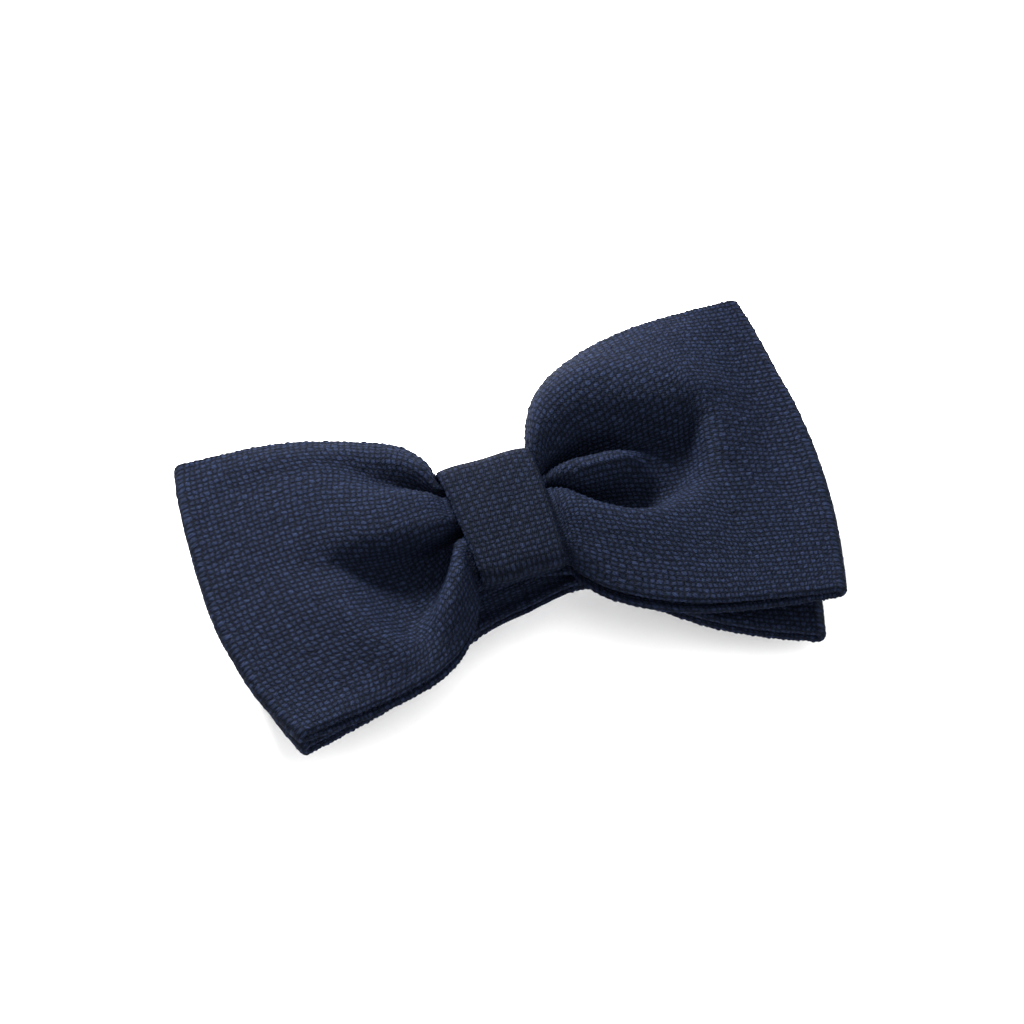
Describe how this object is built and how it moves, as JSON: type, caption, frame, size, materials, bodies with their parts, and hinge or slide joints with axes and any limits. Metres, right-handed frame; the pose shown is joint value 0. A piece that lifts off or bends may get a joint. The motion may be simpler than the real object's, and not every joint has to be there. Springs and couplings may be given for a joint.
{
  "type": "hair bow",
  "caption": "Navy woven fabric hair bow of two stacked loops drawn into a wrapped knot, sewn to a French barrette that opens, grips hair and snaps shut.",
  "frame": {"origin": "on the table, under the middle of the bow as it lies on its clip", "axes": "+X along the bow from its left wing to its right wing, +Y to its upper edge, +Z out of its front face"},
  "size_m": [0.118, 0.069, 0.0257],
  "materials": {
    "navy_fabric": "matt basket weave with brighter blue dashes",
    "navy_thread": "twisted sewing thread",
    "interlining": "plain stiff canvas",
    "felt": "matt felt",
    "plated_steel": "nickel plated, satin",
    "spring_steel": "bare spring steel, satin"
  },
  "bodies": {
    "bow": {"front_loop": "navy_fabric", "front_loop_interlining": "interlining", "back_loop": "navy_fabric", "back_loop_interlining": "interlining", "knot_wrap": "navy_fabric", "knot_interlining": "interlining", "front_gather_thread": "navy_thread", "back_gather_thread": "navy_thread", "knot_closing_stitches": "navy_thread", "center_tack_stitches": "navy_thread", "felt_backing": "felt", "hinge_end_lashing": "navy_thread", "catch_end_lashing": "navy_thread", "barrette_plate": "plated_steel", "hinge_pin": "spring_steel", "catch_base": "plated_steel", "catch_rivets": "spring_steel"},
    "clasp_arm": {"clasp_arm": "plated_steel"},
    "tension_bar": {"tension_bar": "spring_steel"},
    "catch_prong_upper": {"catch_prong_upper": "spring_steel"},
    "catch_prong_lower": {"catch_prong_lower": "spring_steel"}
  },
  "joints": [
    {"name": "clasp_hinge", "type": "hinge", "parent": "bow", "child": "clasp_arm", "pos_m": [-0.0325, 0, 0.0027], "axis": [0, 1, 0], "range_deg": [0, 100]},
    {"name": "tension_bar_hinge", "type": "hinge", "parent": "bow", "child": "tension_bar", "pos_m": [-0.0325, 0, 0.0027], "axis": [0, 1, 0], "range_deg": [0, 12]},
    {"name": "upper_prong_squeeze", "type": "hinge", "parent": "bow", "child": "catch_prong_upper", "pos_m": [0.0305, 0.0018, 0.0059], "axis": [-1, 0, 0], "range_deg": [0, 8], "stiffness_Nm_per_rad": 0.02},
    {"name": "lower_prong_squeeze", "type": "hinge", "parent": "bow", "child": "catch_prong_lower", "pos_m": [0.0305, -0.0018, 0.0059], "axis": [1, 0, 0], "range_deg": [0, 8], "stiffness_Nm_per_rad": 0.02}
  ],
  "couplings": [
    {"joint": "tension_bar_hinge", "follows": "clasp_hinge", "ratio": 0.12},
    {"joint": "lower_prong_squeeze", "follows": "upper_prong_squeeze", "ratio": 1}
  ]
}
